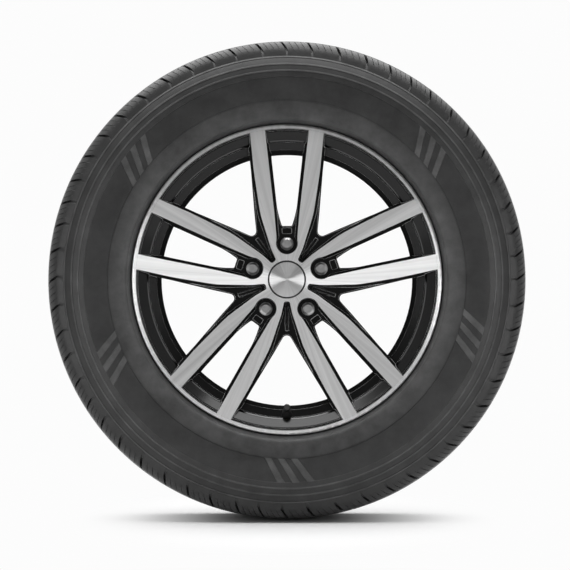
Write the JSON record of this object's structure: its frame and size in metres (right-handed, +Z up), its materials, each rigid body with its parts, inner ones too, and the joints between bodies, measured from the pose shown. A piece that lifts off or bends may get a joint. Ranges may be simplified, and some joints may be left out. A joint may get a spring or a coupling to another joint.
{
  "type": "car wheel with tyre",
  "caption": "Passenger-car wheel: a moulded tubeless tyre on a cast alloy rim with paired spokes, a snap-in centre cap, conical-seat lug bolts and a rubber snap-in valve.",
  "frame": {"origin": "on the wheel's axis, in the tyre's middle plane", "axes": "+Y along the axis towards the car, so the outboard face looks along -Y; +Z up, with one lug bolt at the top and the valve at the bottom"},
  "size_m": [0.7369, 0.2384, 0.737],
  "materials": {
    "tyre": "moulded rubber",
    "alloy": "turned bright faces over gloss black paint",
    "bolt_steel": "zinc plated",
    "cap_plastic": "moulded",
    "cap_metal": "spun",
    "valve_rubber": "moulded",
    "valve_brass": "turned"
  },
  "bodies": {
    "wheel": {"tyre": "tyre", "alloy_rim": "alloy", "lug_bolts": "bolt_steel", "centre_cap_body": "cap_plastic", "centre_cap_face": "cap_metal", "centre_cap_ring": "bolt_steel", "valve_body": "valve_rubber", "valve_stem": "valve_brass", "valve_core": "valve_brass"},
    "valve_pin": {"valve_pin": "valve_brass"},
    "valve_cap": {"valve_cap": "cap_plastic", "valve_cap_seal": "valve_rubber"}
  },
  "joints": [
    {"name": "valve_pin_press", "type": "slide", "parent": "wheel", "child": "valve_pin", "axis": [0, 0.9092, -0.4163], "range_m": [0, 0.001], "stiffness_N_per_m": 1500, "springref_m": -0.0005},
    {"name": "valve_cap_off", "type": "slide", "parent": "wheel", "child": "valve_cap", "axis": [0, -0.9092, 0.4163], "range_m": [0, 0.012]}
  ]
}
